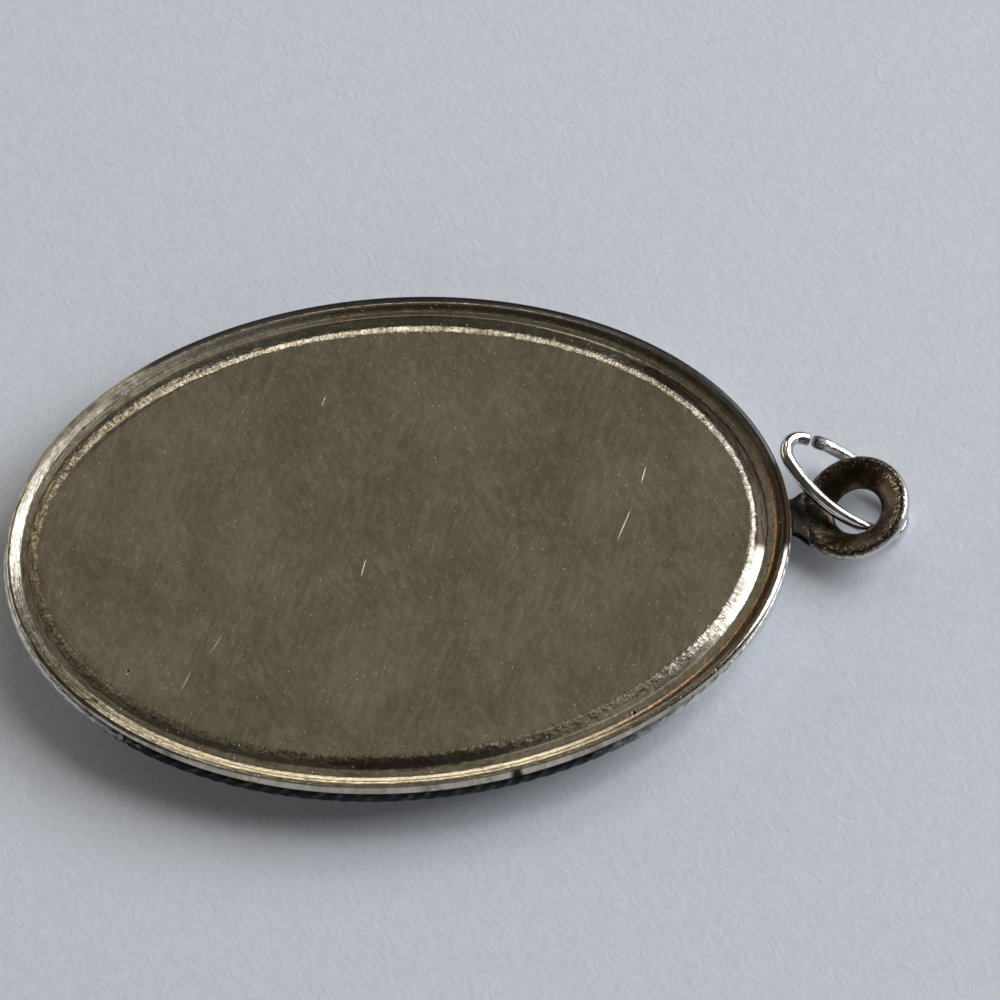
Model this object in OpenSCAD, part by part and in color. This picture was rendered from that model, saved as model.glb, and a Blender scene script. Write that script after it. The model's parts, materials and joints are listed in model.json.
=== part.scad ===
// Oval pendant seen from the back: a die-struck setting, its stone, and the jump ring that carries it.
// It lies on its front. Z is up from the surface, X runs along the oval towards the loop.
// All sizes are in millimetres. The origin is the middle of the box round the part, at its bottom.

/* [Setting] */

// Length of the setting's oval, along X
setting_length = 40.2; // [39.2:0.5:41.2]

// Width of the setting's oval, along Y
setting_width = 28.6; // [27.6:0.2:29.6]

// Number of turns in the twisted edge
twist_turns = 120; // [100:2:128]

// Depth of the notches between two turns of the twisted edge
twist_depth = 0.11; // [0.05:0.01:0.15]

/* [Stone] */

// How far the stone stands out of the setting
stone_stand = 1.76; // [1.76:0.04:2.4]

// Gap round the stone, at its side and behind it
stone_gap = 0.05; // [0.03:0.01:0.1]

// How far the rounding of the stone's face reaches in from its side
stone_rounding = 5; // [3:0.5:7]

/* [Loop] */

// Radius of the hole through the loop
loop_hole_radius = 1.27; // [1.2:0.05:1.4]

// Slope of the loop, outer end up, in degrees
loop_slope = 20; // [18:1:22]

/* [Jump ring] */

// Thickness of the jump ring's wire
wire_thickness = 0.7; // [0.6:0.05:0.75]

// Width of the slit where the wire's two ends meet
joint_gap = 0.15; // [0.05:0.05:0.3]

/* [Hidden] */

// The turned surfaces are split finely enough to read as round.
$fn = 48;

// Half axes of the oval, and how uneven its points would be without a correction
half_length = setting_length / 2;
half_width = setting_width / 2;
unevenness = (half_length ^ 2 - half_width ^ 2) / (half_length ^ 2 + half_width ^ 2);

// Heights above the surface: edge of the setting, and the level that the loop and jump ring are set from
lip_z = stone_stand;
hang_z = lip_z + 1.2;

// The setting's section, from the middle of its back out, down its wall and into the cup:
// inset from the outline, height above the edge, share of the twist's depth
section = [
    [2.16, 1.33, 0], [1.98, 1.315, 0], [1.72, 1.27, 0], [1.45, 1.215, 0], [1.24, 1.19, 0],
    [0.93, 1.19, 0], [0.76, 1.215, 0], [0.58, 1.26, 0], [0.44, 1.285, 0], [0.31, 1.285, 0],
    [0.18, 1.22, 0], [0.08, 1.14, 0], [0, 1.05, 0], [0.08, 1.0, 0], [0, 0.85, 1],
    [0, 0.45, 1], [0.07, 0.18, 1], [0.28, 0.03, 1], [0.55, 0, 1], [0.82, 0.12, 1],
    [1.00, 0.40, 0], [1.00, 0.62, 0]
];

// The twist leans: each row of its part of the section is turned on by this share of a point.
twist_lean = 0.3;
first_twist_row = 14;
last_twist_row = 19;
setting_points = 2 * twist_turns;

// Cup in the setting's front, and the stone in it
last_row = len(section) - 1;
cup_inset = section[last_row][0];
cup_z = lip_z + section[last_row][1];
stone_inset = cup_inset + stone_gap;
stone_points = 96;
rounding_rows = 7;

// Where the loop's middle is, beyond the oval's end, and how far its ridge is below the hanging level
loop_beyond = 3.23;
loop_below = 0.7;
loop_x = half_length + loop_beyond;
loop_z = hang_z - loop_below;

// Section of the loop from its hole out: radius, height from the plane of its ridge
loop_section = [
    [loop_hole_radius, -0.7], [1.6, -0.42], [2.45, -0.03], [2.66, 0], [2.88, -0.2],
    [2.88, -0.5], [2.5, -0.9], [loop_hole_radius + 0.33, -0.95], [loop_hole_radius, -0.84]
];

// Outlines of the neck: from above as distance beyond the oval's end and half width,
// and from the side as distance beyond the oval's end and height from the hanging level
neck_plan = [
    [-0.65, 1.4], [-0.2, 1.14], [0, 1.06], [0.2, 1.08], [0.45, 1.26], [0.75, 1.52], [1.05, 1.7]
];
neck_top = [[-0.65, -0.85], [-0.1, -0.95], [0.1, -1.27], [0.45, -1.36], [0.75, -1.45], [1.05, -1.6]];
neck_bottom = [[1.05, -2.1], [0.3, -1.8], [0, -1.65], [-0.65, -1.5]];
neck_depth = 3;
neck_breadth = 4;

// The jump ring is an oval of four arcs: its half axes, the radius of its ends and of its sides
wire_radius = wire_thickness / 2;
ring_half_length = 3.618;
ring_half_width = 1.702;
ring_end_radius = 1.032;
ring_end_x = ring_half_length - ring_end_radius;
ring_side_radius = (ring_end_x ^ 2 + ring_half_width ^ 2 - ring_end_radius ^ 2)
    / (2 * (ring_half_width - ring_end_radius));
ring_side_y = ring_side_radius - ring_half_width;
ring_turn = atan2(ring_side_y, ring_end_x);
wire_sides = 16;
end_steps = 12;
side_steps = 10;

// How the jump ring leans: its middle beyond the oval's end, its tilt, the side it leans to and its spin
ring_beyond = 3.002;
ring_below = 1.35;
ring_x = half_length + ring_beyond;
ring_y = 1.51;
ring_z = hang_z - ring_below;
ring_tilt = 24;
ring_side = 2;
ring_spin = 51.889;
joint_angle = 296.3;

// Reach of the jump ring along X, from the share of X in the directions of its two axes.
// The oval's own axes are turned by the spin from the level one, which points to -sin of the side.
ring_axis_x = -sin(ring_side) * cos(ring_spin) - cos(ring_tilt) * cos(ring_side) * sin(ring_spin);
ring_cross_x = sin(ring_side) * sin(ring_spin) - cos(ring_tilt) * cos(ring_side) * cos(ring_spin);
ring_reach = abs(ring_axis_x) * ring_end_x + norm([ring_axis_x, ring_cross_x]) * ring_end_radius
    + wire_radius;
box_shift = (half_length - ring_x - ring_reach) / 2;

// Point on the oval at an inset, by the share of the way round in degrees
function even(u) = u + unevenness / 4 * sin(2 * u) * 180 / PI;
function oval_point(u, inset, a = half_length, b = half_width) =
    let (t = even(u), n = [b * cos(t), a * sin(t)])
    [a * cos(t), b * sin(t)] - inset * n / norm(n);

// Rows of points joined by triangles, with a flat face over the first and the last row
function bands(rows, count) = [
    for (j = [0 : rows - 2], k = [0 : count - 1])
    let (m = (k + 1) % count, p = j * count, q = p + count)
    for (face = [[p + k, p + m, q + k], [p + m, q + m, q + k]]) face
];
function cap_first(count) = [for (k = [count - 1 : -1 : 0]) k];
function cap_last(rows, count) = [for (k = [0 : count - 1]) (rows - 1) * count + k];

// Back plate, bevel, groove, raised rim, wall and twisted edge, with the cup for the stone
module struck_oval() {
    points = [
        for (j = [0 : last_row], k = [0 : setting_points - 1])
        let (
            row = section[j],
            lean = twist_lean * (min(max(j, first_twist_row), last_twist_row) - first_twist_row),
            u = (k + lean) * 360 / setting_points,
            inset = row[0] + row[2] * (k % 2) * twist_depth,
            p = oval_point(u, inset)
        )
        [p[0], p[1], lip_z + row[1]]
    ];
    polyhedron(points, concat(
        [cap_first(setting_points)],
        bands(len(section), setting_points),
        [cap_last(len(section), setting_points)]
    ));
}

// Flat tongue that joins the loop to the oval
module neck() {
    other_side = [for (i = [len(neck_plan) - 1 : -1 : 0]) [neck_plan[i][0], -neck_plan[i][1]]];
    intersection() {
        translate([half_length, 0, hang_z - neck_depth])
            linear_extrude(neck_depth)
                polygon(concat(neck_plan, other_side));
        translate([half_length, neck_breadth / 2, hang_z])
            rotate([90, 0, 0])
                linear_extrude(neck_breadth)
                    polygon(concat(neck_top, neck_bottom));
    }
}

// Ring with a dished back, for the jump ring to pass through
module loop() {
    translate([loop_x, 0, loop_z])
        rotate([0, -loop_slope, 0])
            rotate_extrude()
                polygon(loop_section);
}

// The whole setting is one piece of metal.
module setting() {
    color("silver")
        translate([box_shift, 0, 0])
            union() {
                struck_oval();
                neck();
                loop();
            }
}

// Mother of pearl stone: flat behind, with a straight side and a rounded face that ends in a flat
module cabochon() {
    rows = concat(
        [[stone_inset, cup_z - stone_gap]],
        [for (i = [0 : rounding_rows])
            let (turn = 90 * i / rounding_rows)
            [stone_inset + stone_rounding * (1 - cos(turn)), lip_z * (1 - sin(turn))]]
    );
    points = [
        for (row = rows, k = [0 : stone_points - 1])
        let (p = oval_point(k * 360 / stone_points, row[0]))
        [p[0], p[1], row[1]]
    ];
    color("ivory")
        translate([box_shift, 0, 0])
            polyhedron(points, concat(
                [cap_first(stone_points)],
                bands(len(rows), stone_points),
                [cap_last(len(rows), stone_points)]
            ));
}

// Stations along the jump ring's wire, from one end of it round to the other:
// each is a point on the wire's middle line and the direction outwards there
function arc_stations(middle, radius, from, to, steps, first = 0) = [
    for (i = [first : steps])
    let (turn = from + (to - from) * i / steps)
    [middle[0] + radius * cos(turn), middle[1] + radius * sin(turn), turn]
];

// Oval jump ring of round wire, leaning on the loop that it passes through
module jump_ring() {
    half_slit = joint_gap / 2 / ring_side_radius * 180 / PI;
    first_end = joint_angle + half_slit;
    last_end = joint_angle - half_slit;
    stations = concat(
        arc_stations([0, ring_side_y], ring_side_radius, first_end, 360 - ring_turn, 1),
        arc_stations([ring_end_x, 0], ring_end_radius, -ring_turn, ring_turn, end_steps, 1),
        arc_stations([0, -ring_side_y], ring_side_radius, ring_turn, 180 - ring_turn, side_steps, 1),
        arc_stations([-ring_end_x, 0], ring_end_radius, 180 - ring_turn, 180 + ring_turn, end_steps, 1),
        arc_stations([0, ring_side_y], ring_side_radius, 180 + ring_turn, last_end, side_steps, 1)
    );
    points = [
        for (s = stations, k = [0 : wire_sides - 1])
        let (w = k * 360 / wire_sides, out = wire_radius * cos(w))
        [s[0] + out * cos(s[2]), s[1] + out * sin(s[2]), wire_radius * sin(w)]
    ];
    color("gainsboro")
        translate([box_shift + ring_x, ring_y, ring_z])
            rotate([0, ring_tilt, ring_side])
                rotate([0, 0, 90 + ring_spin])
                    polyhedron(points, concat(
                        [cap_first(wire_sides)],
                        bands(len(stations), wire_sides),
                        [cap_last(len(stations), wire_sides)]
                    ));
}

setting();
cabochon();
jump_ring();
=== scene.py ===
import json
import math

import bpy
import numpy as np
from mathutils import Matrix, Vector


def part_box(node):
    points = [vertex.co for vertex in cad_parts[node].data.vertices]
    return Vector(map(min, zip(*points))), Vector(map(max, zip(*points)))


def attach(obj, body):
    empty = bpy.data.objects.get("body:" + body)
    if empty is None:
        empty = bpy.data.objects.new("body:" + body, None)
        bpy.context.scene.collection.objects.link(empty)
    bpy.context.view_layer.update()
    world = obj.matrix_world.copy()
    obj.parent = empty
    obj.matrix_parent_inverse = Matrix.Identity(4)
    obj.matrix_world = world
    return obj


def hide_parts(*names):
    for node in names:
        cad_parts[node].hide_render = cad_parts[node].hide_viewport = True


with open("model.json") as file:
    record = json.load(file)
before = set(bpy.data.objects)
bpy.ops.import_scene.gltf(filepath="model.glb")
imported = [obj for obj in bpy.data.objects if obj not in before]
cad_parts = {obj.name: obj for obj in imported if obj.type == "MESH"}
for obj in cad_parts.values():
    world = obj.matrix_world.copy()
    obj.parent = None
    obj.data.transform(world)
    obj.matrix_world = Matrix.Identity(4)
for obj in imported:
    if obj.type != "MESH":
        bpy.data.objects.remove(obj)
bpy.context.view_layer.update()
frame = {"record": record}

scene = bpy.context.scene
scene.view_settings.view_transform = "Standard"


# The struck back. The real piece is a sheet of nickel silver, silver plated, struck in a die to a shallow
# oval tray: a flat back, a bevel down to a groove, a raised rim and a short wall. It lies on its front.
MM = 0.001
mounts = {mount["name"]: Vector(mount["pos_m"]) / MM for mount in frame["record"]["mounts"]}
setting_low, setting_high = (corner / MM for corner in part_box("setting"))
CENTRE_X = mounts["back"].x
HALF_LENGTH = CENTRE_X - setting_low.x
HALF_WIDTH = setting_high.y
BACK_HEIGHT = 1.33
EDGE_Z = mounts["back"].z - BACK_HEIGHT
OVAL_END_X = CENTRE_X + HALF_LENGTH
ROUND_STATIONS = 960

# How far in from the outline, and how steeply the metal falls there towards the outside, in degrees. The
# strike isn't even, so the section drifts round the oval from one of these four to the next.
BACK_SLOPES = {
    "loop_end": [
        (2.12, 0), (2.08, 4), (2.03, 9), (1.95, 11), (1.6, 12), (1.4, 12), (1.34, 8), (1.28, 0), (0.95, 0),
        (0.91, -4), (0.88, -8), (0.83, -12), (0.75, -18), (0.6, -20), (0.45, -12), (0.38, -4), (0.34, 0),
        (0.31, 8), (0.28, 14), (0.18, 26), (0.12, 60), (0, 75),
    ],
    "far": [
        (2.3, 0), (2.26, 4), (2.22, 5.5), (2.11, 7), (2.02, 8.5), (1.95, 11), (1.92, 16.5), (1.224, 15),
        (1.217, 0), (0.93, 0), (0.86, -9), (0.78, -15), (0.66, -15), (0.57, -8), (0.53, -1), (0.51, 2),
        (0.485, 14), (0.24, 16), (0.16, 20), (0.1, 34), (0, 60),
    ],
    "plain_end": [
        (1.7, 0), (1.64, 5), (1.56, 7.5), (1.4, 9.5), (1.3, 11), (1.25, 16), (1.224, 17), (1.217, 0),
        (0.95, 0), (0.91, -6), (0.88, -10), (0.8, -12), (0.5, -12.5), (0.37, -12), (0.345, -4),
        (0.33, 4), (0.31, 20), (0.2, 34), (0.12, 60), (0, 70),
    ],
    "near": [
        (2.1, 0), (2.0, 5), (1.9, 8), (1.6, 9.5), (1.38, 9.5), (1.3, 5), (1.24, 0), (0.94, 0), (0.9, -5),
        (0.87, -7), (0.8, -8), (0.75, -9), (0.71, -14), (0.67, -17), (0.63, -12), (0.59, -7), (0.56, -5),
        (0.53, -1.5), (0.49, 0), (0.38, 0), (0.325, 4), (0.305, 40), (0.285, 66), (0.24, 72), (0, 76),
    ],
}

# Rows of points over the section: the slanted parts, closest at the foot of the bevel, and then the rounded
# edge and the wall, down to where the wall's foot is on each side. The cup behind the stone is hidden.
SLANT_INSETS = np.concatenate([
    np.linspace(2.6, 1.25, 38), [1.232, 1.221, 1.211, 1.2], np.linspace(1.17, 0.4, 25),
])
WALL_TOP_INSET = 0.385
WALL_FOOT_INSETS = {"loop_end": 0.1, "far": 0.06, "plain_end": 0.1, "near": 0.16}
WALL_ROWS = 20
WALL_FOOT = 0.92
BEHIND_ROPE = 0.06
HIDDEN_CUP = [(0.17, WALL_FOOT - 2 * BEHIND_ROPE), (0.6, 0.7), (1.0, 0.5), (1.0, 0.62)]
SLOPE_STEPS = 4001

# Radius of a circle that is as long as the oval's outline: stains that run along the rim are laid out on it.
ROUND_RADIUS = 17.3


def turns(count):
    """Even stations round a closed line, in radians."""
    return np.arange(count) * 2 * math.pi / count


def oval(turn, inset):
    """Points on the setting's outline, moved in by an inset, by the share of the way round in radians."""
    uneven = (HALF_LENGTH ** 2 - HALF_WIDTH ** 2) / (HALF_LENGTH ** 2 + HALF_WIDTH ** 2)
    t = turn + uneven / 4 * np.sin(2 * turn)
    out = np.stack([HALF_WIDTH * np.cos(t), HALF_LENGTH * np.sin(t)], -1)
    out /= np.linalg.norm(out, axis=-1, keepdims=True)
    line = np.stack([CENTRE_X + HALF_LENGTH * np.cos(t), HALF_WIDTH * np.sin(t)], -1)
    return line - out * np.asarray(inset)[..., None]


def skin(name, rows, closed=False, capped=True):
    """A smooth mesh over rows of points in mm: rows by stations by three, each row a closed round."""
    lines, count = rows.shape[:2]
    index = np.arange(lines * count).reshape(lines, count)
    if closed:
        index = np.concatenate([index, index[:1]])
    beside = np.roll(index, -1, 1)
    faces = np.stack([index[:-1], beside[:-1], beside[1:], index[1:]], -1).reshape(-1, 4).tolist()
    if capped:
        faces += [index[0][::-1].tolist(), index[-1].tolist()]
    mesh = bpy.data.meshes.new(name)
    mesh.from_pydata((rows.reshape(-1, 3) * MM).tolist(), [], faces)
    mesh.shade_smooth()
    piece = bpy.data.objects.new(name, mesh)
    scene.collection.objects.link(piece)
    return piece


def keep_value(piece, name, values):
    """Stores a value, or a place of three values, at each point of a mesh for its material to read."""
    kind = "FLOAT_VECTOR" if values.ndim == 2 else "FLOAT"
    field = piece.data.attributes.new(name, kind, "POINT")
    field.data.foreach_set("vector" if values.ndim == 2 else "value", values.ravel().astype(np.float32))


def back_rows(side):
    """Insets and heights over the setting's edge, from the flat of the back out to the foot of the wall."""
    wall_insets = np.linspace(WALL_TOP_INSET, WALL_FOOT_INSETS[side], WALL_ROWS)
    insets = np.concatenate([SLANT_INSETS, wall_insets])
    corner_insets, corner_slopes = np.array(BACK_SLOPES[side]).T
    fine = np.linspace(insets[0], 0, SLOPE_STEPS)
    falls = np.tan(np.radians(np.interp(-fine, -corner_insets, corner_slopes, left=0)))
    heights = BACK_HEIGHT - np.concatenate([[0], np.cumsum(falls[:-1] * -np.diff(fine))])
    return np.stack([insets, np.maximum(np.interp(-insets, -fine, heights), WALL_FOOT - BEHIND_ROPE)], -1)


stations = turns(ROUND_STATIONS)
towards = {
    "loop_end": np.cos(stations), "far": np.sin(stations),
    "plain_end": -np.cos(stations), "near": -np.sin(stations),
}
shares = {side: np.maximum(toward, 0) ** 2 for side, toward in towards.items()}
section = sum(
    np.concatenate([back_rows(side), HIDDEN_CUP])[:, None] * share[:, None] for side, share in shares.items()
)
rows = np.zeros(section.shape[:2] + (3,))
for row, (insets, heights) in zip(rows, section.transpose(0, 2, 1)):
    row[:, :2] = oval(stations, insets)
    row[:, 2] = EDGE_Z + heights
struck_back = skin("struck_back", rows)
rim_place = np.zeros_like(rows)
rim_place[..., 0] = ROUND_RADIUS * np.cos(stations)
rim_place[..., 1] = ROUND_RADIUS * np.sin(stations)
rim_place[..., 2] = section[..., 0]
keep_value(struck_back, "rim_place", rim_place.reshape(-1, 3))
flat_edge = sum(share * BACK_SLOPES[side][0][0] for side, share in shares.items())
keep_value(struck_back, "past_flat", (flat_edge - section[..., 0]).ravel())
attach(struck_back, "root")
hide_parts("setting")


def linear(code):
    """A colour written as sRGB hex, as the linear values that Blender's sockets take."""
    parts = [int(code[i:i + 2], 16) / 255 for i in (1, 3, 5)]
    return tuple(c / 12.92 if c <= 0.04045 else ((c + 0.055) / 1.055) ** 2.4 for c in parts) + (1.0,)


def fill(tree, node, links):
    """Fills a node's sockets, each with a value, a socket, or the first output of another node."""
    for socket, value in links.items():
        if isinstance(value, bpy.types.Node):
            value = value.outputs[0]
        if isinstance(value, bpy.types.NodeSocket):
            tree.links.new(value, node.inputs[socket])
        else:
            node.inputs[socket].default_value = value


def add(tree, kind, links=None, **settings):
    """Adds a shader node with its settings, and fills its sockets; gives the node."""
    made = tree.nodes.new("ShaderNode" + kind)
    for name, value in settings.items():
        setattr(made, name, value)
    fill(tree, made, links or {})
    return made


def finish_of(name):
    """A new material: the material, its nodes, its Principled shader, and the place on the piece in mm."""
    made = bpy.data.materials.new(name)
    made.use_nodes = True
    tree = made.node_tree
    tree.nodes.clear()
    shader = add(tree, "BsdfPrincipled")
    add(tree, "OutputMaterial", {"Surface": shader})
    object_place = add(tree, "TexCoord").outputs["Object"]
    place = add(tree, "VectorMath", {0: object_place, 1: (1 / MM, 1 / MM, 1 / MM)}, operation="MULTIPLY")
    return made, tree, shader, place


def amount(tree, *limits):
    """How much of a mark shows: its limits multiplied. A limit is a value or a number, or a soft edge, which
    is a value with where the mark is gone and where it is full."""
    shown = None
    for limit in limits:
        if isinstance(limit, tuple):
            value, gone, full = limit
            span = {"Value": value, "From Min": min(gone, full), "From Max": max(gone, full)}
            ends = {"To Min": float(gone > full), "To Max": float(full > gone)}
            limit = add(tree, "MapRange", span | ends, interpolation_type="SMOOTHSTEP")
        shown = limit if shown is None else add(tree, "Math", {0: shown, 1: limit}, operation="MULTIPLY")
    return shown


def total(tree, *terms):
    """A sum, each term of it a value or a number, or the limits of an amount."""
    result = None
    for term in terms:
        term = amount(tree, *term) if isinstance(term, tuple) else term
        result = term if result is None else add(tree, "Math", {0: result, 1: term}, operation="ADD")
    return result


def largest(tree, *values):
    """The largest of some values at each point."""
    result = values[0]
    for value in values[1:]:
        result = add(tree, "Math", {0: result, 1: value}, operation="MAXIMUM")
    return result


def coats(tree, colour, *layers):
    """A colour with others laid over it in turn, each given as how much of it shows and the colour."""
    for shown, over in layers:
        colour = add(tree, "Mix", {0: shown, 6: colour, 7: over}, data_type="RGBA").outputs[2]
    return colour


def grains(tree, place, size, lean=0.0, detail=2.0, roughness=0.5, seed=0.0):
    """Noise whose grains have the given sizes in millimetres, the first of them along a line that leans."""
    if lean:
        turn = {"Vector": place, "Angle": -math.radians(lean)}
        place = add(tree, "VectorRotate", turn, rotation_type="Z_AXIS")
    shift = (seed, seed * 1.7, seed * 0.6)
    spread = {0: place, 1: tuple(1 / length for length in size), 2: shift}
    scaled = add(tree, "VectorMath", spread, operation="MULTIPLY_ADD")
    return add(tree, "TexNoise", {"Vector": scaled, "Scale": 1.0, "Detail": detail, "Roughness": roughness})


def marks(tree, place, table):
    """Spots and scratches with their places, sizes and lean: 1 along their middles and 0 outside."""
    shown = []
    for x, y, length, width, lean in table:
        turn = math.radians(lean)
        moved = add(tree, "VectorMath", {0: place, 1: (x, y, 0)}, operation="SUBTRACT")
        along = (math.cos(turn) * 2 / length, math.sin(turn) * 2 / length, 0)
        across = (-math.sin(turn) * 2 / width, math.cos(turn) * 2 / width, 0)
        scaled = add(tree, "CombineXYZ", {
            axis: add(tree, "VectorMath", {0: moved, 1: way}, operation="DOT_PRODUCT").outputs["Value"]
            for axis, way in enumerate((along, across))
        })
        from_middle = add(tree, "VectorMath", {0: scaled}, operation="LENGTH").outputs["Value"]
        shown.append(amount(tree, (from_middle, 1.0, 0.4)))
    return total(tree, *shown)


# Worn silver plate over nickel silver, dulled by tarnish: a grey-olive mirror, softened by fine wiping
# scratches that run two ways, with hair lines, mottling and specks of dust. Relief is in millimetres.
PLATE = linear("#E2DCCE")
PLATE_DULL = linear("#A39C8A")
PIT_DIRT = linear("#2E251C")
BARE = linear("#F4F1EA")

# The largest scratches and pits of the flat: x, y, length and width in millimetres, and lean in degrees
SCRATCHES = [
    (9.73, 2.38, 1.8, 0.07, 70), (8.39, -0.41, 2.9, 0.06, 63), (-14.57, -6.96, 2.0, 0.08, 59),
    (-12.88, -5.06, 2.2, 0.08, 53), (-5.03, -1.49, 1.5, 0.05, 71), (-6.1, 8.3, 0.9, 0.04, 66),
]
FLAT_PITS = [(-0.66, 4.49, 0.2, 0.12, 20), (-17.41, -6.16, 0.3, 0.22, 60), (13.83, -1.52, 0.35, 0.1, 10)]


def wear(tree, place):
    """What wear leaves all over the plate: its tone, wiping scratches, hair lines, mottling and dust."""
    clouds = amount(tree, (grains(tree, place, (4, 5, 4), detail=6, roughness=0.65), 0.3, 0.7))
    wipes, cross_wipes = (
        amount(tree, (grains(tree, place, size, lean=lean, detail=5, roughness=0.65, seed=seed), gone, 0.68))
        for size, lean, seed, gone in (((1.2, 0.26, 1), 66, 41, 0.38), ((0.9, 0.3, 1), 112, 47, 0.4))
    )
    crossed = amount(tree, (grains(tree, place, (3, 3, 3), detail=3, seed=53), 0.4, 0.62))
    wiped = add(tree, "Mix", {0: crossed, 2: wipes, 3: cross_wipes}).outputs[0]
    hairs = amount(tree, (grains(tree, place, (0.8, 0.07, 1), lean=68, seed=3), 0.52, 0.75))
    mottle = grains(tree, place, (0.45, 0.45, 0.45), detail=6, roughness=0.7, seed=71)
    mottle = amount(tree, (mottle, 0.38, 0.66))
    dust = amount(tree, (grains(tree, place, (0.16, 0.16, 0.16), detail=0, seed=31), 0.79, 0.82))
    tone = total(tree, (clouds, 0.38), (wiped, 0.32), (hairs, 0.32), (mottle, 0.22))
    return tone, wiped, hairs, mottle, dust


worn_silver, tree, shader, place = finish_of("worn_silver_plate")
tone, wiped, hairs, mottle, dust = wear(tree, place)
scratched, pitted = marks(tree, place, SCRATCHES), marks(tree, place, FLAT_PITS)
base = coats(tree, PLATE_DULL, (tone, PLATE), (pitted, PIT_DIRT), (amount(tree, scratched, 0.8), BARE))
rough = total(tree, 0.1, (wiped, 0.02))
relief = total(tree, (hairs, 0.0004), (wiped, 0.0006), (mottle, 0.0003), (dust, 0.008), (scratched, -0.002),
               (pitted, -0.008))
bump = add(tree, "Bump", {"Height": relief, "Distance": MM, "Strength": 1.0})
fill(tree, shader, {"Base Color": base, "Metallic": 1.0, "Roughness": rough, "Normal": bump})
struck_back.data.materials.append(worn_silver)

# The same plate round the flat, where wiping doesn't reach: brown tarnish and black dirt in the groove and
# under the rim's edge, copper showing at the loop's end, and bright metal where the rim is rubbed. The brown
# also paints a dark reflection on the near bevel, and the blackening also paints shade on the far outer edge.
TARNISH_AND_DARK_REFLECTION = linear("#41362A")
BLACKENING_AND_SHADE = linear("#333338")
COPPERY = linear("#D9925E")
RUBBED = linear("#CBC1A5")

# The rim's pits, and the beads of solder left on it, in the same columns
RIM_PITS = [(7.67, -10.99, 0.3, 0.25, 80), (1.5, -13.85, 0.95, 0.9, 0), (-3.74, -14.27, 0.3, 0.25, 0)]
BEADS = [
    (12.0, -9.08, 0.2, 0.16, 0), (6.63, -11.7, 0.14, 0.1, 0), (8.4, -10.81, 0.12, 0.12, 0),
    (9.08, -10.6, 0.16, 0.1, 0), (10.07, -10.41, 0.12, 0.12, 0), (-15.72, 10.88, 0.25, 0.14, 0),
    (-21.26, 2.88, 0.14, 0.14, 0), (-21.61, -0.14, 0.14, 0.14, 0),
]
tarnished_silver, tree, shader, place = finish_of("tarnished_silver_plate")
tone, wiped, hairs, mottle, dust = wear(tree, place)
pitted, beaded = marks(tree, place, RIM_PITS), marks(tree, place, BEADS)

# Places round the rim, on its circle, and insets from its outline: the bevel lies between 2.1 and 1.25 mm,
# the floor of the groove out to 0.95, the rim's inner slope out to 0.4, and its rounded edge beyond that.
rim = add(tree, "Attribute", attribute_name="rim_place").outputs["Vector"]
rim_parts = add(tree, "SeparateXYZ", {0: rim})
along_x, along_y, inset = (rim_parts.outputs[axis] for axis in "XYZ")
frayed = total(tree, grains(tree, rim, (0.3, 0.3, 0.1), detail=4, roughness=0.7, seed=29), -0.5)
frayed_inset = total(tree, inset, (frayed, 0.35))
on_flat, off_flat = amount(tree, (inset, 1.7, 2.3)), amount(tree, (inset, 2.2, 1.8))
far_half = amount(tree, (along_y, -2, 6))
loop_part = amount(tree, (total(tree, along_x, (along_y, -0.4)), 13, 16.5))
out_x, out_y = (add(tree, "Math", {0: along}, operation="ABSOLUTE") for along in (along_x, along_y))
rim_streaks = grains(tree, rim, (0.9, 0.9, 0.05), detail=3, roughness=0.65, seed=7)
rim_patches = grains(tree, rim, (1.6, 1.6, 0.5), detail=4, roughness=0.6, seed=13)
blotches = total(tree, grains(tree, rim, (0.7, 0.7, 0.25), detail=5, roughness=0.75, seed=61), -0.5)

# The flat's edge, where the metal turns down to the bevel, is worked over with short bright and dark strokes.
# Their relief is even about zero, so that it doesn't raise the edge as a whole.
past_flat = add(tree, "Attribute", attribute_name="past_flat").outputs["Fac"]
at_edge = amount(tree, (past_flat, -0.14, 0.02), (past_flat, 0.5, 0.32))
worked = amount(tree, (grains(tree, rim, (1.1, 1.1, 1), detail=3, roughness=0.6, seed=57), 0.32, 0.62))
brushing = total(tree, grains(tree, rim, (0.17, 0.17, 0.4), detail=4, roughness=0.7, seed=5), -0.5)
brushed_edge = amount(tree, brushing, at_edge, total(tree, 0.45, worked), (along_y, -15, -6))
wandering = total(tree, grains(tree, rim, (0.5, 0.5, 0.3), detail=3, roughness=0.6, seed=77), -0.5)
wandering_edge = amount(tree, wandering, at_edge)
strokes = grains(tree, rim, (0.15, 0.15, 0.35), detail=4, roughness=0.7, seed=83)
strokes = amount(tree, (strokes, 0.48, 0.56), at_edge)

# Brown: a painted dark reflection of the side of the room where the camera stands, as a spot on the near
# bevel; and brown tarnish on the rim by the loop, patches, the far side of the groove, the dull near rim and
# left groove, and broken lines along the near rim
DARK_REFLECTION_INSET, DARK_REFLECTION_SIZE = 1.6, (6.5, 0.36)
from_middle = add(tree, "CombineXYZ", {
    0: amount(tree, along_x, 1 / DARK_REFLECTION_SIZE[0]),
    1: amount(tree, total(tree, inset, -DARK_REFLECTION_INSET), 1 / DARK_REFLECTION_SIZE[1]),
})
from_dark_reflection = add(tree, "VectorMath", {0: from_middle}, operation="LENGTH").outputs["Value"]
bevel_dark_reflection = amount(tree, (total(tree, from_dark_reflection, (blotches, 2.5)), 1.2, 0.6), (along_y, 0, -5))
rim_brown = amount(tree, loop_part, (frayed_inset, 0.86, 0.78), (frayed_inset, 0.3, 0.4))
patch_brown = amount(tree, off_flat, (rim_patches, 0.52, 0.7), 0.6)
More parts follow.
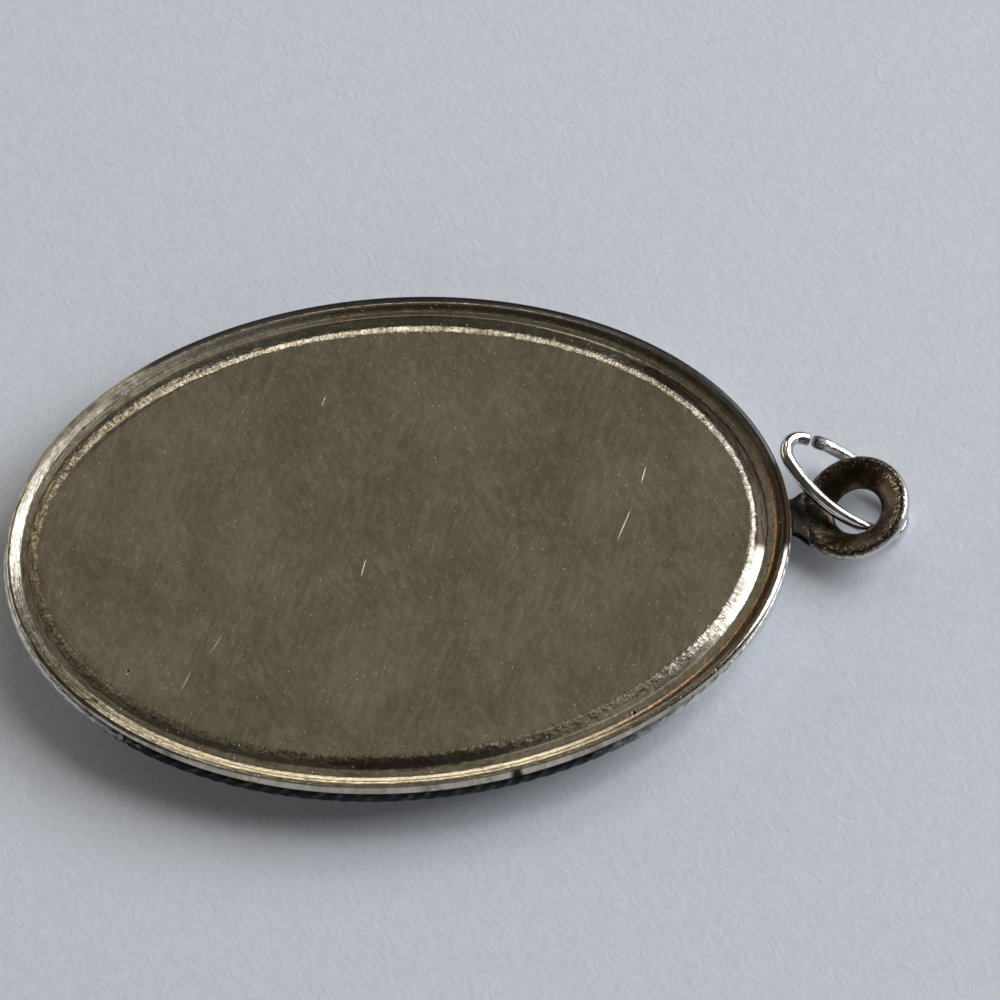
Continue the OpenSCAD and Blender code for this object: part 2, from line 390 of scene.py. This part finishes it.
groove_brown = amount(tree, far_half, (frayed_inset, 0.38, 0.46), (frayed_inset, 1.5, 1.25),
                      (along_x, -13, -7), 0.7)
rim_dull = amount(tree, (out_x, 4, 9), (along_y, 1, -2), (frayed_inset, 1.02, 0.92),
                  (frayed_inset, 0.4, 0.5), 0.62)
left_groove = amount(tree, (along_x, -9, -14), (along_y, 4, -2), (inset, 0.9, 1.0), (inset, 2.45, 1.6), 0.4)
near_spots = largest(tree, amount(tree, (rim_streaks, 0.47, 0.57)), amount(tree, (blotches, 0.0, 0.1)))
near_lines = amount(tree, near_spots, (along_y, -3, -8), (frayed_inset, 1.0, 0.9), (frayed_inset, 0.36, 0.44),
                    0.75)
brown = largest(tree, bevel_dark_reflection, rim_brown, patch_brown, groove_brown, rim_dull, left_groove, near_lines)
groove_line = amount(tree, (frayed_inset, 0.84, 0.9), (frayed_inset, 0.97, 0.91), far_half)

# Black dirt: on the bevel by the loop, soot from soldering at the neck, blotches and worn lines at the left.
# The outer edge of the far side is blackened, and painted darker still as shade, in place of the light of the
# paper and the window that it would mirror
streaks = grains(tree, rim, (1.2, 1.2, 0.09), detail=4, roughness=0.7, seed=19)
bevel_dirt = amount(tree, total(tree, 0.93, ((streaks, 0.4, 0.6), 0.07)),
                    (total(tree, along_x, (blotches, 6)), 11, 14), (along_y, -3.3, -2.5),
                    (frayed_inset, 1.2, 1.28), (frayed_inset, 1.93, 1.84))
neck_soot = amount(tree, (out_y, 3.0, 2.3), (along_x, 10, 14), (frayed_inset, 0.5, 0.42))
left_blotches = amount(tree, (blotches, 0.0, 0.16), (along_x, -11, -14), (along_y, 0.5, -1.5),
                       (frayed_inset, 0.9, 0.8), 0.75)
worn_lines = amount(tree, (rim_streaks, 0.54, 0.6), (along_x, -9, -14), off_flat)
dirt = largest(tree, total(tree, pitted, (worn_lines, 0.6)), bevel_dirt, neck_soot, left_blotches)
# Painted shade, partly blackening: the far side's outer edge, made dark where it would mirror bright light
outer_black_and_shade = amount(tree, (total(tree, along_y, (along_x, 0.55)), 5.5, 7.5), (frayed_inset, 0.5, 0.42))

# Rubbed metal on the near rim, copper showing through by the loop, and a satin patch at the far left
rubbed = amount(tree, (frayed_inset, 0.95, 0.85), (frayed_inset, 0.46, 0.56), (along_y, 2, -8),
                (rim_streaks, 0.35, 0.6), (along_x, 11, 6))
copper_grains = grains(tree, rim, (0.2, 0.2, 0.1), detail=3, seed=91)
copper = amount(tree, loop_part, (frayed_inset, 0.97, 0.92), (frayed_inset, 0.74, 0.8),
                (copper_grains, 0.48, 0.56))
satin = amount(tree, (total(tree, along_y, (along_x, -1)), 18, 22), (inset, 1.5, 1.2))
# The blackening colour here also lays painted shade on the far side's outer edge.
# The tarnish colour here also lays the painted dark reflection on the near bevel.
base = coats(
    tree, PLATE_DULL, (tone, PLATE),
    (amount(tree, brown, 0.78), TARNISH_AND_DARK_REFLECTION), (rubbed, RUBBED), (amount(tree, copper, 0.8), COPPERY),
    (amount(tree, strokes, 0.45), TARNISH_AND_DARK_REFLECTION), (amount(tree, groove_line, 0.6), TARNISH_AND_DARK_REFLECTION),
    (amount(tree, outer_black_and_shade, 0.9), BLACKENING_AND_SHADE), (dirt, PIT_DIRT),
)
rough = total(tree, 0.1, (wiped, 0.02), (off_flat, 0.03), (brown, 0.05), (bevel_dirt, 0.1), (neck_soot, 0.25),
              (outer_black_and_shade, 0.14), (satin, 0.1))
unevenness = grains(tree, place, (0.5, 0.5, 0.5), detail=3, seed=17)
relief = total(
    tree, (hairs, on_flat, 0.0004), (wiped, on_flat, 0.0006), (mottle, on_flat, 0.0003),
    (brushed_edge, 0.018), (wandering_edge, 0.024), (dust, 0.008), (pitted, -0.008), (beaded, 0.015),
    ((inset, 1.0, 0.9), rim_streaks, 0.006), (unevenness, off_flat, 0.008),
)
bump = add(tree, "Bump", {"Height": relief, "Distance": MM, "Strength": 1.0})
fill(tree, shader, {"Base Color": base, "Metallic": 1.0, "Roughness": rough, "Normal": bump})
struck_back.data.materials.append(tarnished_silver)

# The flat is the skin's last face but one. It keeps the first finish, and the rest takes the second.
finish_slots = np.ones(len(struck_back.data.polygons), np.int32)
finish_slots[-2] = 0
struck_back.data.polygons.foreach_set("material_index", finish_slots)


# The twisted edge. The real piece is four silver wires twisted to a rope, rolled a little flat and soldered
# round the foot of the wall. Its grooves are black with old tarnish, and the wires' tops are rubbed bright.
ROPE_TWISTS = 30
ROPE_WIRES = 4
ROPE_STATIONS = 1680
ROPE_ROWS = 30
ROPE_HALF_WIDTH, ROPE_HALF_HEIGHT = 0.53, WALL_FOOT / 2
ROPE_SQUARENESS = 2.8
WIRE_OFFSET, WIRE_RADIUS = 0.15, 0.33

# How far the twist drifts, in radians, and how much of a wire's height the rolling takes off at most. Both
# come and go round the rope as the product of two waves.
TWIST_DRIFT, MOST_ROLLED = 0.3, 0.6
rope_stations = turns(ROPE_STATIONS)
around = turns(ROPE_ROWS)[:, None]
wire_share = 2 * math.pi / ROPE_WIRES
drift = TWIST_DRIFT * np.sin(17 * rope_stations + 1) * np.sin(11 * rope_stations)
rolled = MOST_ROLLED * (0.5 + 0.5 * np.sin(13 * rope_stations + 2) * np.sin(8 * rope_stations))
off_wire = (around - ROPE_TWISTS * rope_stations - drift) % wire_share - wire_share / 2
lobes = WIRE_OFFSET * np.cos(off_wire) + np.sqrt(WIRE_RADIUS ** 2 - (WIRE_OFFSET * np.sin(off_wire)) ** 2)
lobes /= WIRE_OFFSET + WIRE_RADIUS
lobes += (1 - lobes) * rolled
flattened = np.abs(np.cos(around)) ** ROPE_SQUARENESS + np.abs(np.sin(around)) ** ROPE_SQUARENESS
reach = lobes / flattened ** (1 / ROPE_SQUARENESS)
rope = np.zeros((ROPE_ROWS, ROPE_STATIONS, 3))
for row, out, up in zip(rope, reach * np.cos(around), reach * np.sin(around)):
    row[:, :2] = oval(rope_stations, ROPE_HALF_WIDTH * (1 - out))
    row[:, 2] = EDGE_Z + ROPE_HALF_HEIGHT * (1 + up)
twisted_edge = skin("twisted_edge", rope[::-1], closed=True, capped=False)
crest_heights = (lobes - lobes.min()) / (lobes.max() - lobes.min())
keep_value(twisted_edge, "crest", crest_heights[::-1].ravel())
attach(twisted_edge, "root")
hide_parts("setting")

# Silver wire blackened in its grooves: dark blue-grey, with a dull shine along the top of each wire, and
# rubbed bright at both ends of the oval.
BLACKENED = linear("#29292C")
WIRE_TOP = linear("#5F5C5A")
WIRE_BARE = linear("#F0F0EC")
blackened_rope, tree, shader, place = finish_of("blackened_silver_rope")
crest = add(tree, "Attribute", attribute_name="crest").outputs["Fac"]
scuffs = grains(tree, place, (0.6, 0.6, 0.6), detail=4, roughness=0.7)
worn = amount(tree, (total(tree, crest, scuffs), 1.3, 1.75))
frayed = total(tree, grains(tree, place, (0.5, 0.5, 0.5), detail=4, roughness=0.7, seed=8), -0.5)
frayed_x = total(tree, add(tree, "SeparateXYZ", {0: place}).outputs["X"], (frayed, 9))
bright_ends = total(tree, *(
    amount(tree, (frayed_x, CENTRE_X + gone, CENTRE_X + full)) for gone, full in ((8, 16), (-14, -17.5))
))
base = coats(tree, BLACKENED, (worn, WIRE_TOP), (amount(tree, bright_ends, 0.95), WIRE_BARE))
rough = total(tree, 0.5, (worn, -0.2), (bright_ends, -0.15))
pitted = grains(tree, place, (0.15, 0.15, 0.15), detail=3, seed=3)
bump = add(tree, "Bump", {"Height": amount(tree, pitted, 0.02), "Distance": MM, "Strength": 1.0})
fill(tree, shader, {"Base Color": base, "Metallic": 1.0, "Roughness": rough, "Normal": bump})
twisted_edge.data.materials.append(blackened_rope)


# The loop. The real piece is a small cast ring with a dished back and a short neck, soldered to the end of
# the oval. It slopes up away from the oval, and the solder rounds off the corner round its neck.
LOOP_X = OVAL_END_X + 3.23
LOOP_Z = EDGE_Z + 0.5
LOOP_SLOPE = math.radians(20)
LOOP_SECTION = [
    (1.27, -0.74), (1.32, -0.62), (1.5, -0.48), (1.75, -0.34), (2.0, -0.22), (2.25, -0.11), (2.45, -0.02),
    (2.56, 0.01), (2.66, 0.0), (2.76, -0.06), (2.85, -0.18), (2.88, -0.32), (2.86, -0.52), (2.74, -0.72),
    (2.5, -0.88), (2.1, -0.95), (1.6, -0.95), (1.36, -0.92), (1.27, -0.86),
]
LOOP_STATIONS = 144

# The neck by the distance beyond the oval's end: its half width, and the heights of its top and underside
NECK_OUTLINE = [
    (-0.65, 1.4), (-0.2, 1.14), (0, 1.04), (0.2, 1.06), (0.45, 1.24), (0.75, 1.5), (1.05, 1.6), (1.4, 1.4),
]
NECK_TOP = [
    (-0.65, 0.35), (-0.1, 0.25), (0, 0.05), (0.1, -0.08), (0.45, -0.19), (0.75, -0.29), (1.05, -0.38),
    (1.4, -0.49),
]
NECK_UNDER = [(-0.65, -0.3), (0, -0.45), (0.3, -0.6), (1.05, -0.9), (1.4, -0.95)]
NECK_STATIONS, NECK_SIDES = 42, 32
NECK_ROUNDING = 0.5
REMESH_SIZE = 0.04
SOLDER_PASSES = 10
loop_turns = turns(LOOP_STATIONS)
ring_rows = np.zeros((len(LOOP_SECTION), LOOP_STATIONS, 3))
for row, (radius, height) in zip(ring_rows, LOOP_SECTION):
    x = radius * np.cos(loop_turns)
    row[:, 0] = LOOP_X + x * math.cos(LOOP_SLOPE) - height * math.sin(LOOP_SLOPE)
    row[:, 1] = radius * np.sin(loop_turns)
    row[:, 2] = LOOP_Z + x * math.sin(LOOP_SLOPE) + height * math.cos(LOOP_SLOPE)
neck_x = np.linspace(NECK_OUTLINE[0][0], NECK_OUTLINE[-1][0], NECK_STATIONS)
neck_turns = turns(NECK_SIDES)
neck_out, neck_up = (
    np.sign(wave) * np.abs(wave) ** NECK_ROUNDING for wave in (np.cos(neck_turns), np.sin(neck_turns))
)
neck_rows = np.zeros((NECK_STATIONS, NECK_SIDES, 3))
for row, x in zip(neck_rows, neck_x):
    half, top, under = (np.interp(x, *zip(*line)) for line in (NECK_OUTLINE, NECK_TOP, NECK_UNDER))
    row[:, 0] = OVAL_END_X + x
    row[:, 1] = half * neck_out
    row[:, 2] = EDGE_Z + (top + under) / 2 + (top - under) / 2 * neck_up

# Both are made a thousand times too large for the remesh, which then puts one skin round them. Its smoothing
# fills the inner corners as solder does.
soldered_loop = skin("soldered_loop", ring_rows / MM, closed=True, capped=False)
neck = skin("neck", neck_rows / MM)
with bpy.context.temp_override(active_object=soldered_loop, selected_editable_objects=[soldered_loop, neck]):
    bpy.ops.object.join()
whole = soldered_loop.modifiers.new("whole", "REMESH")
whole.mode, whole.voxel_size, whole.use_smooth_shade = "VOXEL", REMESH_SIZE, True
rounding = soldered_loop.modifiers.new("rounding", "SMOOTH")
rounding.factor, rounding.iterations = 0.5, SOLDER_PASSES
with bpy.context.temp_override(object=soldered_loop, active_object=soldered_loop):
    bpy.ops.object.modifier_apply(modifier="whole")
    bpy.ops.object.modifier_apply(modifier="rounding")
soldered_loop.data.transform(Matrix.Scale(MM, 4))
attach(soldered_loop, "root")
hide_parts("setting")

# Cast and soldered metal with the same worn plate: near black where it is dished, with a few bright rubbed
# spots on the ridge, brown heat stain on the near side and black soot towards the neck.
CAST_DARK = linear("#4C3D31")
CAST_BRIGHT = linear("#7E776A")
RUBBED_WALL = linear("#D8D4CC")
HEAT_STAIN = linear("#7A552C")
SOLDER_SOOT = linear("#1F1B17")
cast_silver, tree, shader, place = finish_of("cast_tarnished_silver")
place_parts = add(tree, "SeparateXYZ", {0: place})
slope_stretch = 1 / math.cos(LOOP_SLOPE)
level = {0: place, 1: (slope_stretch, 1, 0), 2: (-LOOP_X * slope_stretch, 0, 0)}
from_middle = add(tree, "VectorMath", level, operation="MULTIPLY_ADD")
from_middle = add(tree, "VectorMath", {0: from_middle}, operation="LENGTH").outputs["Value"]
speckle = grains(tree, place, (0.14, 0.14, 0.14), detail=3, roughness=0.7, seed=33)
clouds = amount(tree, (grains(tree, place, (0.9, 0.9, 0.9), detail=4), 0.42, 0.66))
stains = amount(tree, (grains(tree, place, (0.5, 0.3, 0.5), detail=4, seed=9), 0.6, 0.7))
near_stains = amount(tree, stains, (place_parts.outputs["Y"], -1.0, -1.8))
ridge_spots = amount(tree, (speckle, 0.56, 0.62), (from_middle, 2.1, 2.4), (from_middle, 2.85, 2.7))
outer_wall = amount(tree, (total(tree, from_middle, (speckle, 0.3)), 2.9, 3.02))
frayed = grains(tree, place, (0.4, 0.4, 0.4), detail=4, seed=21)
frayed_x = total(tree, place_parts.outputs["X"], (frayed, 1.2))
sooty = amount(tree, (frayed_x, OVAL_END_X + 2.3, OVAL_END_X + 1.3))
base = coats(tree, CAST_DARK, (amount(tree, clouds, 0.6), CAST_BRIGHT), (near_stains, HEAT_STAIN),
             (largest(tree, ridge_spots, outer_wall), RUBBED_WALL), (sooty, SOLDER_SOOT))
rough = total(tree, 0.27, (stains, 0.1), (sooty, 0.1))
casting = grains(tree, place, (0.45, 0.45, 0.45), detail=3, seed=4)
relief = total(tree, (casting, 0.03), (speckle, 0.006))
bump = add(tree, "Bump", {"Height": relief, "Distance": MM, "Strength": 1.0})
fill(tree, shader, {"Base Color": base, "Metallic": 1.0, "Roughness": rough, "Normal": bump})
soldered_loop.data.materials.append(cast_silver)


# The jump ring. The real piece is bright silver-plated wire 0.7 mm thick, wound to an oval on a mandrel, cut,
# and closed with pliers round the loop. It leans on the loop, with its cut on the far side.
WIRE_HALF = 0.35
RING_HALF_LENGTH, RING_HALF_WIDTH, RING_END_RADIUS = 3.618, 1.702, 1.032
RING_MIDDLE = Vector((OVAL_END_X + 3.002, 1.51, EDGE_Z - 0.15))
RING_TILT, RING_SIDE, RING_SPIN = (math.radians(angle) for angle in (24, 2, 51.889))
CUT_ANGLE, CUT_WIDTH = math.radians(296.3), 0.08

# The wire's ends are pinched to a share of its thickness, and dirty over about so many stations from the cut.
PINCHED_END = 0.8
CUT_REACH = 6
WIRE_SIDES = 32
end_x = RING_HALF_LENGTH - RING_END_RADIUS
side_radius = end_x ** 2 + RING_HALF_WIDTH ** 2 - RING_END_RADIUS ** 2
side_radius /= 2 * (RING_HALF_WIDTH - RING_END_RADIUS)
side_y = side_radius - RING_HALF_WIDTH
end_turn = math.atan2(side_y, end_x)


def arc(middle, radius, start, stop, pieces):
    """Points on an arc, each with the direction outwards there."""
    angles = np.linspace(start, stop, pieces, endpoint=False)
    return np.stack([middle[0] + radius * np.cos(angles), middle[1] + radius * np.sin(angles), angles], -1)


half_cut = CUT_WIDTH / 2 / side_radius
wire_line = np.concatenate([
    arc((0, side_y), side_radius, CUT_ANGLE + half_cut, 2 * math.pi - end_turn, 30),
    arc((end_x, 0), RING_END_RADIUS, -end_turn, end_turn, 40),
    arc((0, -side_y), side_radius, end_turn, math.pi - end_turn, 50),
    arc((-end_x, 0), RING_END_RADIUS, math.pi - end_turn, math.pi + end_turn, 40),
    arc((0, side_y), side_radius, math.pi + end_turn, CUT_ANGLE - half_cut, 30),
])
sides = turns(WIRE_SIDES)
thick = np.full(len(wire_line), WIRE_HALF)
thick[[0, -1]] = PINCHED_END * WIRE_HALF
wire_rows = np.zeros((len(wire_line), WIRE_SIDES, 3))
for row, (x, y, angle), radius in zip(wire_rows, wire_line, thick):
    out = radius * np.cos(sides)
    row[:, 0] = x + out * math.cos(angle)
    row[:, 1] = y + out * math.sin(angle)
    row[:, 2] = radius * np.sin(sides)
jump_ring = skin("jump_ring_wire", wire_rows)
from_start = np.arange(len(wire_line))
nearness = np.exp(-np.minimum(from_start, from_start[::-1]) / CUT_REACH)
keep_value(jump_ring, "near_cut", np.repeat(nearness, WIRE_SIDES))
lean = Matrix.Rotation(RING_SIDE, 4, "Z") @ Matrix.Rotation(RING_TILT, 4, "Y")
spin = Matrix.Rotation(math.pi / 2 + RING_SPIN, 4, "Z")
jump_ring.data.transform(Matrix.Translation(RING_MIDDLE * MM) @ lean @ spin)
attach(jump_ring, "root")
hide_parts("jump_ring")

# Bright silver plate on drawn wire: nearly a mirror, with faint unevenness from the draw plate, and dirt and
# plier marks by the cut.
WIRE_SILVER = linear("#F4F4F2")
WIRE_SHADE = linear("#D6D6D0")
CUT_DIRT = linear("#4A453C")
bright_wire, tree, shader, place = finish_of("bright_drawn_silver_wire")
clouds = amount(tree, (grains(tree, place, (0.7, 0.7, 0.7), detail=3), 0.4, 0.65))
near_cut = add(tree, "Attribute", attribute_name="near_cut").outputs["Fac"]
pinched = grains(tree, place, (0.22, 0.22, 0.22), detail=3, roughness=0.7, seed=44)
dirt = amount(tree, (total(tree, (near_cut, near_cut, 0.6), pinched), 0.66, 0.78))
base = coats(tree, WIRE_SHADE, (clouds, WIRE_SILVER), (amount(tree, dirt, 0.85), CUT_DIRT))
rough = total(tree, 0.12, (clouds, 0.06))
drawn = grains(tree, place, (0.35, 0.35, 0.35), detail=3, seed=2)
grit = grains(tree, place, (0.06, 0.06, 0.06), detail=1, seed=6)
relief = total(tree, (drawn, 0.012), (grit, 0.001), (near_cut, pinched, 0.12))
bump = add(tree, "Bump", {"Height": relief, "Distance": MM, "Strength": 1.0})
fill(tree, shader, {"Base Color": base, "Metallic": 1.0, "Roughness": rough, "Normal": bump})
jump_ring.data.materials.append(bright_wire)


# The stone. The real piece is an oval of mother of pearl, sawn from shell, ground to a low dome and polished,
# and set in the cup on the front. The pendant lies on it, so only other views show it.
STONE_POINTS, STONE_ROWS = 288, 28
STONE_INSET = 1.05
STONE_ROUNDING = 5.0
BROKEN_CORNER = 0.1
stone_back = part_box("cabochon")[1].z / MM
quarter = np.linspace(0, math.pi / 2, STONE_ROWS)
stone_insets = np.concatenate([
    [STONE_INSET + BROKEN_CORNER, STONE_INSET], STONE_INSET + STONE_ROUNDING * (1 - np.cos(quarter)),
])
stone_heights = np.concatenate([[stone_back, stone_back - BROKEN_CORNER], EDGE_Z * (1 - np.sin(quarter))])
stone_rows = np.zeros((len(stone_insets), STONE_POINTS, 3))
for row, stone_inset, height in zip(stone_rows, stone_insets, stone_heights):
    row[:, :2] = oval(turns(STONE_POINTS), stone_inset)
    row[:, 2] = height
nacre_stone = skin("nacre_stone", stone_rows)
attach(nacre_stone, "root")
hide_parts("cabochon")


def warped(tree, place, size, reach, **settings):
    """A place in millimetres that noise shifts by up to its reach, so that what is drawn on it bends."""
    bend = grains(tree, place, (size, size, size), **settings).outputs["Color"]
    shift = add(tree, "VectorMath", {0: bend, "Scale": reach}, operation="SCALE")
    return add(tree, "VectorMath", {0: place, 1: shift}, operation="ADD")


# Polished nacre: cream to silver, with slow clouds of rose and green where the thin layers of shell run out,
# and a soft deep gloss.
SHELL_CREAM, SHELL_SILVER = linear("#EFE9DC"), linear("#D8DCDD")
SHELL_ROSE, SHELL_GREEN = linear("#E8CFCB"), linear("#C4D8CC")
NACRE_IOR = 1.6
LAYERS_A_MM = 0.09
nacre, tree, shader, place = finish_of("polished_mother_of_pearl")
layered = warped(tree, place, 6, 5.0)
waves = {"Vector": layered, "Scale": LAYERS_A_MM, "Distortion": 3.0, "Detail": 3.0}
layers = add(tree, "TexWave", waves, bands_direction="DIAGONAL").outputs["Fac"]
rose = amount(tree, (grains(tree, layered, (4, 9, 4), detail=3, seed=5), 0.45, 0.7), 0.8)
green = amount(tree, (grains(tree, layered, (9, 3, 4), detail=3, seed=15), 0.5, 0.72), 0.8)
base = coats(tree, SHELL_CREAM, (layers, SHELL_SILVER), (rose, SHELL_ROSE), (green, SHELL_GREEN))
rough = total(tree, 0.1, (layers, 0.08))
bump = add(tree, "Bump", {"Height": amount(tree, layers, 0.01), "Distance": MM, "Strength": 1.0})
fill(tree, shader, {"Base Color": base, "IOR": NACRE_IOR, "Roughness": rough, "Normal": bump,
                    "Coat Weight": 0.5, "Coat Roughness": 0.05})
nacre_stone.data.materials.append(nacre)


# The paper. The pendant lies on a sheet of white cartridge paper, uncoated, so it is matt and slightly
# fibrous.
PAPER_HALF = 0.6
PAPER_CORNERS = [(x * PAPER_HALF, y * PAPER_HALF, 0) for x, y in ((-1, -1), (1, -1), (1, 1), (-1, 1))]
paper_mesh = bpy.data.meshes.new("paper")
paper_mesh.from_pydata(PAPER_CORNERS, [], [(0, 1, 2, 3)])
paper = bpy.data.objects.new("paper", paper_mesh)
scene.collection.objects.link(paper)

# Uncoated white paper: cool white, with bent fibres lying two ways, whose relief the low window light shows.
PAPER_WHITE, PAPER_SHADE = linear("#DDE2E9"), linear("#D7DCE3")
white_paper, tree, shader, place = finish_of("uncoated_white_paper")
bent = warped(tree, place, 1.2, 1.5, seed=3)
fibres = total(tree, grains(tree, bent, (0.9, 0.28, 1), lean=50, detail=3, seed=1),
               grains(tree, bent, (0.9, 0.28, 1), lean=118, detail=3, seed=2))
base = coats(tree, PAPER_SHADE, (amount(tree, (fibres, 0.7, 1.3)), PAPER_WHITE))
bump = add(tree, "Bump", {"Height": amount(tree, fibres, 0.02), "Distance": MM, "Strength": 1.0})
fill(tree, shader, {"Base Color": base, "Roughness": 0.9, "Normal": bump})
paper_mesh.materials.append(white_paper)


# The light. A tall window stands at the right, with its side and top panes and the ceiling that it lights
# further round. Behind the pendant are a pale wall, a gold curtain and the room's corner, at the left a
# lamp, and behind the camera a wall. The flat of the back mirrors the dim ceiling.
ROOM = linear("#8C8578")
ROOM_STRENGTH = 0.22
room = bpy.data.worlds.new("dim_room")
scene.world = room
room.use_nodes = True
fill(room.node_tree, room.node_tree.nodes["Background"], {"Color": ROOM, "Strength": ROOM_STRENGTH})


def soft_light(name, azimuth, elevation, wide, tall, colour, radiance):
    """A rectangular light a metre away: its middle and its width and height are angles in degrees."""
    data = bpy.data.lights.new(name, "AREA")
    data.shape = "RECTANGLE"
    data.size, data.size_y = (2 * math.tan(math.radians(angle / 2)) for angle in (wide, tall))
    data.color = linear(colour)[:3]
    data.energy = math.pi * data.size * data.size_y * radiance
    lamp = bpy.data.objects.new(name, data)
    a, e = math.radians(azimuth), math.radians(elevation)
    lamp.location = (math.cos(e) * math.cos(a), math.cos(e) * math.sin(a), math.sin(e))
    lamp.rotation_euler = lamp.location.to_track_quat("Z", "Y").to_euler()
    scene.collection.objects.link(lamp)


soft_light("window", 13, 33, 38, 36, "#F7F9FF", 5.3)
soft_light("window_side", 45, 31, 24, 20, "#F7F9FF", 4.2)
soft_light("window_top", 40, 57, 16, 16, "#F7F9FF", 4.3)
soft_light("ceiling_by_the_window", 52, 74, 13, 8, "#FFF5DA", 0.3)
soft_light("pale_wall", 85, 46, 15, 13, "#FFF8EA", 2.5)
soft_light("gold_curtain", 110, 54, 8, 8, "#FFE8BE", 1.5)
soft_light("left_corner", 112, 20, 20, 24, "#FFF5DE", 0.5)
soft_light("left_lamp", 150, 18, 48, 20, "#FFF8E6", 1.15)
soft_light("wall_behind", -96, 28, 60, 26, "#E8E8F4", 0.55)
soft_light("dim_ceiling", 84, 68, 70, 18, "#FFF5DA", 0.14)


# The camera. The photograph was taken from above the near side, with the loop's end turned a little away.
# It looks at the middle of the oval, at the height of the groove, and its frame is moved to the pendant's
# place in the photograph.
PIXELS_A_MM = 19.69
PHOTO_SIDE = 1000
MIDDLE_IN_PHOTO = (398.3, 540.0)
GROOVE_HEIGHT = 1.19
CAMERA_DISTANCE = 0.42
CAMERA_ELEVATION, CAMERA_YAW = math.radians(62.1), math.radians(5.85)
middle = Vector((CENTRE_X, 0, EDGE_Z + GROOVE_HEIGHT)) * MM
right = Vector((math.cos(CAMERA_YAW), -math.sin(CAMERA_YAW), 0))
away = Vector((math.sin(CAMERA_YAW), math.cos(CAMERA_YAW), 0))
up = away * math.sin(CAMERA_ELEVATION) + Vector((0, 0, math.cos(CAMERA_ELEVATION)))
eye = middle + right.cross(up) * CAMERA_DISTANCE
right_px, down_px = (PHOTO_SIDE / 2 - place_px for place_px in MIDDLE_IN_PHOTO)
aim = middle + (right * right_px - up * down_px) / PIXELS_A_MM * MM
back = (eye - aim).normalized()
side = (right - back * right.dot(back)).normalized()
camera_data = bpy.data.cameras.new("camera")
camera_data.sensor_width = 36
camera_data.lens = camera_data.sensor_width * PIXELS_A_MM * CAMERA_DISTANCE / MM / PHOTO_SIDE
camera_data.clip_start = 0.01
camera = bpy.data.objects.new("camera", camera_data)
camera.matrix_world = Matrix.Translation(eye) @ Matrix((side, back.cross(side), back)).transposed().to_4x4()
scene.collection.objects.link(camera)
scene.camera = camera
